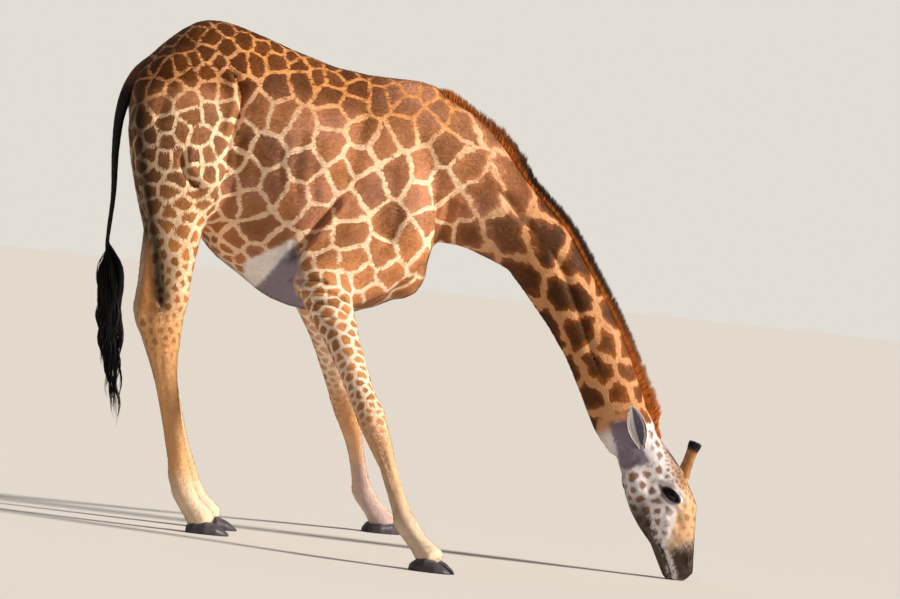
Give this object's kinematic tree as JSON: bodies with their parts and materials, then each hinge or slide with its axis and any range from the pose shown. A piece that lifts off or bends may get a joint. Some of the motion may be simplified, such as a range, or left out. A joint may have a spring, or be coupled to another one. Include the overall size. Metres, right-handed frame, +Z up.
{
  "type": "giraffe",
  "caption": "Life-size female giraffe standing with forelegs spread wide and neck lowered, muzzle on the ground as it drinks.",
  "frame": {"origin": "middle of the bottom of the bounding box, on the floor between the feet", "axes": "+X towards the head, +Y to the animal's left, +Z up"},
  "size_m": [2.9298, 3.0774, 2.3629],
  "materials": {
    "coat": "short flat hair in brown patches on cream",
    "mane_hair": "stiff upright hair",
    "tail_skin": "short dark hair",
    "tail_hair": "long black hair",
    "ear": "short pale hair",
    "ossicone": "short hair, black at the tip",
    "hoof_horn": "satin horn",
    "eye": "wet",
    "nose_skin": "bare dark skin"
  },
  "bodies": {
    "root": {"claw_fore_left_inner": "hoof_horn", "claw_fore_left_outer": "hoof_horn", "claw_fore_right_inner": "hoof_horn", "claw_fore_right_outer": "hoof_horn", "claw_hind_left_inner": "hoof_horn", "claw_hind_left_outer": "hoof_horn", "claw_hind_right_inner": "hoof_horn", "claw_hind_right_outer": "hoof_horn", "ear_left": "ear", "ear_right": "ear", "eye_left": "eye", "eye_right": "eye", "foreleg_cannon_left": "coat", "foreleg_cannon_right": "coat", "foreleg_foot_left": "coat", "foreleg_foot_right": "coat", "foreleg_upper_left": "coat", "foreleg_upper_right": "coat", "head": "coat", "hindleg_cannon_left": "coat", "hindleg_cannon_right": "coat", "hindleg_foot_left": "coat", "hindleg_foot_right": "coat", "mane": "mane_hair", "neck_lower": "coat", "neck_middle": "coat", "neck_upper": "coat", "ossicone_left": "ossicone", "ossicone_right": "ossicone", "shank_left": "coat", "shank_right": "coat", "tail": "tail_skin", "tail_tuft": "tail_hair", "thigh_left": "coat", "thigh_right": "coat", "trunk": "coat"}
  },
  "joints": []
}
